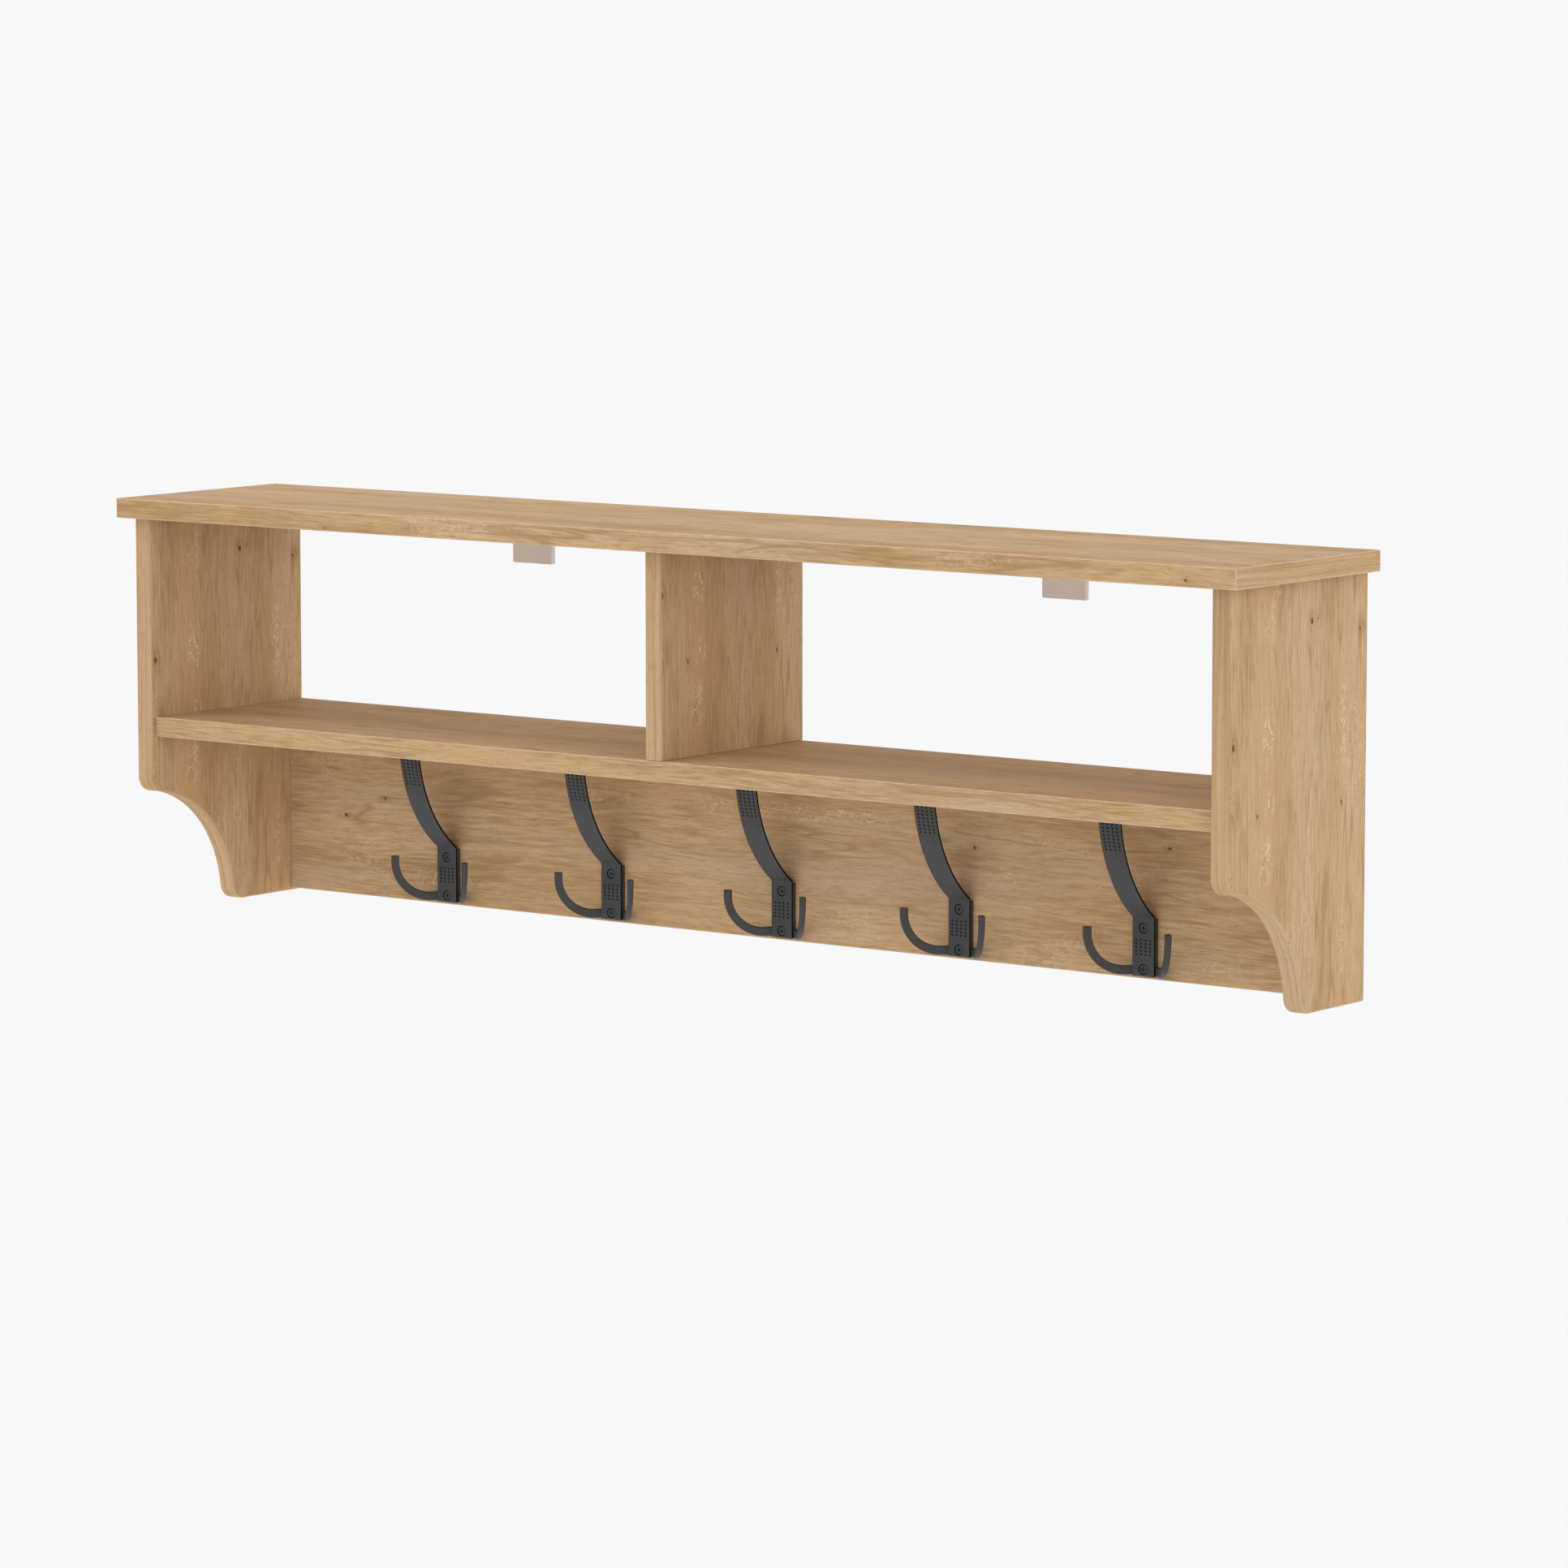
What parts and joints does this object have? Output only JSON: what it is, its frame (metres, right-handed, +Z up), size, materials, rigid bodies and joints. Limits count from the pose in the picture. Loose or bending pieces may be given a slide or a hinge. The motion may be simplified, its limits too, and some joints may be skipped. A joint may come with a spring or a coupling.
{
  "type": "wall shelf with brackets",
  "caption": "Wide wall shelf in oak-look board: a top over two open compartments and a rail of black coat hooks, hung on angle brackets.",
  "frame": {"origin": "middle of the top board's back edge, in the plane of the wall", "axes": "+X to the right along the shelf, +Y into the wall, +Z up"},
  "size_m": [1.22, 0.221, 0.382],
  "materials": {
    "oak_laminate": "satin oak-look laminate, grain along each board",
    "black_powder_coat": "fine matt powder coat",
    "taupe_plastic": "satin moulded plastic",
    "zinc_plated_steel": "zinc plated",
    "beech_wood": "raw beech"
  },
  "bodies": {
    "root": {"angle_cover_left": "taupe_plastic", "angle_cover_right": "taupe_plastic", "angle_screw_left_1": "zinc_plated_steel", "angle_screw_left_2": "zinc_plated_steel", "angle_screw_right_1": "zinc_plated_steel", "angle_screw_right_2": "zinc_plated_steel", "cam_bolt_divider_bottom": "zinc_plated_steel", "cam_bolt_divider_top": "zinc_plated_steel", "cam_bolt_rail_left": "zinc_plated_steel", "cam_bolt_rail_right": "zinc_plated_steel", "cam_bolt_shelf_left_back": "zinc_plated_steel", "cam_bolt_shelf_left_front": "zinc_plated_steel", "cam_bolt_shelf_right_back": "zinc_plated_steel", "cam_bolt_shelf_right_front": "zinc_plated_steel", "cam_divider_bottom": "zinc_plated_steel", "cam_divider_top": "zinc_plated_steel", "cam_rail_left": "zinc_plated_steel", "cam_rail_right": "zinc_plated_steel", "cam_shelf_left_back": "zinc_plated_steel", "cam_shelf_left_front": "zinc_plated_steel", "cam_shelf_right_back": "zinc_plated_steel", "cam_shelf_right_front": "zinc_plated_steel", "divider_panel": "oak_laminate", "dowel_divider_bottom": "beech_wood", "dowel_divider_top": "beech_wood", "dowel_rail_left": "beech_wood", "dowel_rail_right": "beech_wood", "dowel_shelf_left": "beech_wood", "dowel_shelf_right": "beech_wood", "dowel_side_left_back": "beech_wood", "dowel_side_left_front": "beech_wood", "dowel_side_right_back": "beech_wood", "dowel_side_right_front": "beech_wood", "hook_prongs_1": "black_powder_coat", "hook_prongs_2": "black_powder_coat", "hook_prongs_3": "black_powder_coat", "hook_prongs_4": "black_powder_coat", "hook_prongs_5": "black_powder_coat", "hook_rail": "oak_laminate", "hook_screw_1_lower": "black_powder_coat", "hook_screw_1_upper": "black_powder_coat", "hook_screw_2_lower": "black_powder_coat", "hook_screw_2_upper": "black_powder_coat", "hook_screw_3_lower": "black_powder_coat", "hook_screw_3_upper": "black_powder_coat", "hook_screw_4_lower": "black_powder_coat", "hook_screw_4_upper": "black_powder_coat", "hook_screw_5_lower": "black_powder_coat", "hook_screw_5_upper": "black_powder_coat", "hook_strap_1": "black_powder_coat", "hook_strap_2": "black_powder_coat", "hook_strap_3": "black_powder_coat", "hook_strap_4": "black_powder_coat", "hook_strap_5": "black_powder_coat", "lower_shelf": "oak_laminate", "side_panel_left": "oak_laminate", "side_panel_right": "oak_laminate", "top_board": "oak_laminate", "wall_angle_left": "zinc_plated_steel", "wall_angle_right": "zinc_plated_steel"}
  },
  "joints": []
}
